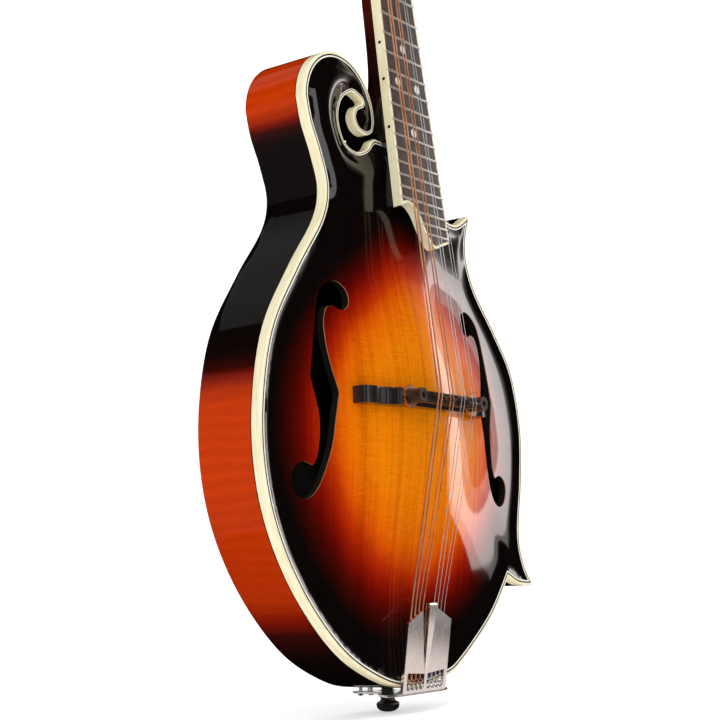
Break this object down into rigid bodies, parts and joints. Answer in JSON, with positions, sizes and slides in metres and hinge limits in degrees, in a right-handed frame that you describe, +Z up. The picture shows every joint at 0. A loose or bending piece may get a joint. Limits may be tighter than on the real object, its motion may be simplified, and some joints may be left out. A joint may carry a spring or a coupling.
{
  "type": "mandolin",
  "caption": "Eight-string mandolin with a scroll body, carved arched top, f-shaped sound holes, adjustable floating bridge, cast tailpiece and geared tuners.",
  "frame": {"origin": "middle of the end pin's round head, on the instrument's centre line", "axes": "+Z up the strings towards the headstock, -Y out of the carved top, -X to the bass side with the scroll"},
  "size_m": [0.2556, 0.1174, 0.6807],
  "materials": {
    "top_spruce": "clear gloss over sunburst stain",
    "maple_sides": "clear gloss over sunburst stain",
    "maple_back": "clear gloss over sunburst stain",
    "bare_wood": "sanded, unfinished",
    "neck_maple": "gloss, dark stain",
    "ebony": "oiled ebony",
    "binding": "ivory-coloured celluloid",
    "pearl": "mother of pearl",
    "bone": "polished bone",
    "nickel": "polished nickel plate",
    "fret_wire": "nickel silver",
    "steel": "plain steel",
    "brass": "aged brass",
    "wound_bronze": "bronze-wound steel",
    "black_plastic": "black"
  },
  "bodies": {
    "root": {"top_plate": "top_spruce", "back_plate": "maple_back", "rim": "maple_sides", "linings": "bare_wood", "head_block": "bare_wood", "tail_block": "bare_wood", "point_blocks": "bare_wood", "tone_bars": "bare_wood", "top_binding": "binding", "headstock_binding": "binding", "fingerboard_binding": "binding", "neck": "neck_maple", "headstock_veneer": "ebony", "fingerboard": "ebony", "bridge_base": "ebony", "end_pin": "ebony", "frets": "fret_wire", "position_dots": "pearl", "side_dots": "black_plastic", "nut": "bone", "truss_rod": "steel", "truss_rod_cover": "black_plastic", "cover_screws": "nickel", "tuner_plate_bass": "nickel", "tuner_plate_treble": "nickel", "plate_screws": "nickel", "post_bushings": "nickel", "tailpiece": "nickel", "tailpiece_screws": "nickel", "bridge_posts": "brass", "wound_strings": "wound_bronze", "plain_strings": "steel"},
    "saddle": {"bridge_saddle": "ebony"},
    "wheel_bass": {"thumbwheel_bass": "brass"},
    "wheel_treble": {"thumbwheel_treble": "brass"},
    "rod_nut": {"truss_rod_nut": "brass"},
    "knob_1": {"button_1": "pearl", "worm_1": "nickel"},
    "string_post_1": {"post_1": "nickel"},
    "knob_2": {"button_2": "pearl", "worm_2": "nickel"},
    "string_post_2": {"post_2": "nickel"},
    "knob_3": {"button_3": "pearl", "worm_3": "nickel"},
    "string_post_3": {"post_3": "nickel"},
    "knob_4": {"button_4": "pearl", "worm_4": "nickel"},
    "string_post_4": {"post_4": "nickel"},
    "knob_5": {"button_5": "pearl", "worm_5": "nickel"},
    "string_post_5": {"post_5": "nickel"},
    "knob_6": {"button_6": "pearl", "worm_6": "nickel"},
    "string_post_6": {"post_6": "nickel"},
    "knob_7": {"button_7": "pearl", "worm_7": "nickel"},
    "string_post_7": {"post_7": "nickel"},
    "knob_8": {"button_8": "pearl", "worm_8": "nickel"},
    "string_post_8": {"post_8": "nickel"}
  },
  "joints": [
    {"name": "saddle_lift", "type": "slide", "parent": "root", "child": "saddle", "axis": [0, -1, 0], "range_m": [0, 0.003], "deforming": ["wound_strings", "plain_strings"]},
    {"name": "wheel_bass_turn", "type": "hinge", "parent": "saddle", "child": "wheel_bass", "pos_m": [-0.0302, -0.04265, 0.16177], "axis": [0, -1, 0], "range_deg": [-10, 1360]},
    {"name": "wheel_treble_turn", "type": "hinge", "parent": "saddle", "child": "wheel_treble", "pos_m": [0.0302, -0.04265, 0.16177], "axis": [0, -1, 0], "range_deg": [-10, 1360]},
    {"name": "truss_rod_nut_turn", "type": "hinge", "parent": "root", "child": "rod_nut", "pos_m": [0, 0.0011, 0.51264], "axis": [0, 0.1045, 0.9945], "range_deg": [-180, 180]},
    {"name": "tuner_1_knob", "type": "hinge", "parent": "root", "child": "knob_1", "pos_m": [-0.0175, 0.02416, 0.54573], "axis": [1, 0, 0], "continuous": true},
    {"name": "tuner_1_post", "type": "hinge", "parent": "root", "child": "string_post_1", "pos_m": [-0.0175, 0.00479, 0.54537], "axis": [0, -0.9455, 0.3256], "continuous": true},
    {"name": "tuner_2_knob", "type": "hinge", "parent": "root", "child": "knob_2", "pos_m": [-0.0175, 0.03165, 0.56748], "axis": [1, 0, 0], "continuous": true},
    {"name": "tuner_2_post", "type": "hinge", "parent": "root", "child": "string_post_2", "pos_m": [-0.0175, 0.01228, 0.56712], "axis": [0, -0.9455, 0.3256], "continuous": true},
    {"name": "tuner_3_knob", "type": "hinge", "parent": "root", "child": "knob_3", "pos_m": [-0.0175, 0.03914, 0.58922], "axis": [1, 0, 0], "continuous": true},
    {"name": "tuner_3_post", "type": "hinge", "parent": "root", "child": "string_post_3", "pos_m": [-0.0175, 0.01977, 0.58886], "axis": [0, -0.9455, 0.3256], "continuous": true},
    {"name": "tuner_4_knob", "type": "hinge", "parent": "root", "child": "knob_4", "pos_m": [-0.0175, 0.04663, 0.61097], "axis": [1, 0, 0], "continuous": true},
    {"name": "tuner_4_post", "type": "hinge", "parent": "root", "child": "string_post_4", "pos_m": [-0.0175, 0.02726, 0.61061], "axis": [0, -0.9455, 0.3256], "continuous": true},
    {"name": "tuner_5_knob", "type": "hinge", "parent": "root", "child": "knob_5", "pos_m": [0.0175, 0.02416, 0.54573], "axis": [1, 0, 0], "continuous": true},
    {"name": "tuner_5_post", "type": "hinge", "parent": "root", "child": "string_post_5", "pos_m": [0.0175, 0.00479, 0.54537], "axis": [0, -0.9455, 0.3256], "continuous": true},
    {"name": "tuner_6_knob", "type": "hinge", "parent": "root", "child": "knob_6", "pos_m": [0.0175, 0.03165, 0.56748], "axis": [1, 0, 0], "continuous": true},
    {"name": "tuner_6_post", "type": "hinge", "parent": "root", "child": "string_post_6", "pos_m": [0.0175, 0.01228, 0.56712], "axis": [0, -0.9455, 0.3256], "continuous": true},
    {"name": "tuner_7_knob", "type": "hinge", "parent": "root", "child": "knob_7", "pos_m": [0.0175, 0.03914, 0.58922], "axis": [1, 0, 0], "continuous": true},
    {"name": "tuner_7_post", "type": "hinge", "parent": "root", "child": "string_post_7", "pos_m": [0.0175, 0.01977, 0.58886], "axis": [0, -0.9455, 0.3256], "continuous": true},
    {"name": "tuner_8_knob", "type": "hinge", "parent": "root", "child": "knob_8", "pos_m": [0.0175, 0.04663, 0.61097], "axis": [1, 0, 0], "continuous": true},
    {"name": "tuner_8_post", "type": "hinge", "parent": "root", "child": "string_post_8", "pos_m": [0.0175, 0.02726, 0.61061], "axis": [0, -0.9455, 0.3256], "continuous": true}
  ],
  "couplings": [
    {"joint": "wheel_bass_turn", "follows": "saddle_lift", "rad_per_m": 7854},
    {"joint": "wheel_treble_turn", "follows": "saddle_lift", "rad_per_m": 7854},
    {"joint": "tuner_1_post", "follows": "tuner_1_knob", "ratio": -0.071429},
    {"joint": "tuner_2_post", "follows": "tuner_2_knob", "ratio": -0.071429},
    {"joint": "tuner_3_post", "follows": "tuner_3_knob", "ratio": -0.071429},
    {"joint": "tuner_4_post", "follows": "tuner_4_knob", "ratio": -0.071429},
    {"joint": "tuner_5_post", "follows": "tuner_5_knob", "ratio": 0.071429},
    {"joint": "tuner_6_post", "follows": "tuner_6_knob", "ratio": 0.071429},
    {"joint": "tuner_7_post", "follows": "tuner_7_knob", "ratio": 0.071429},
    {"joint": "tuner_8_post", "follows": "tuner_8_knob", "ratio": 0.071429}
  ]
}
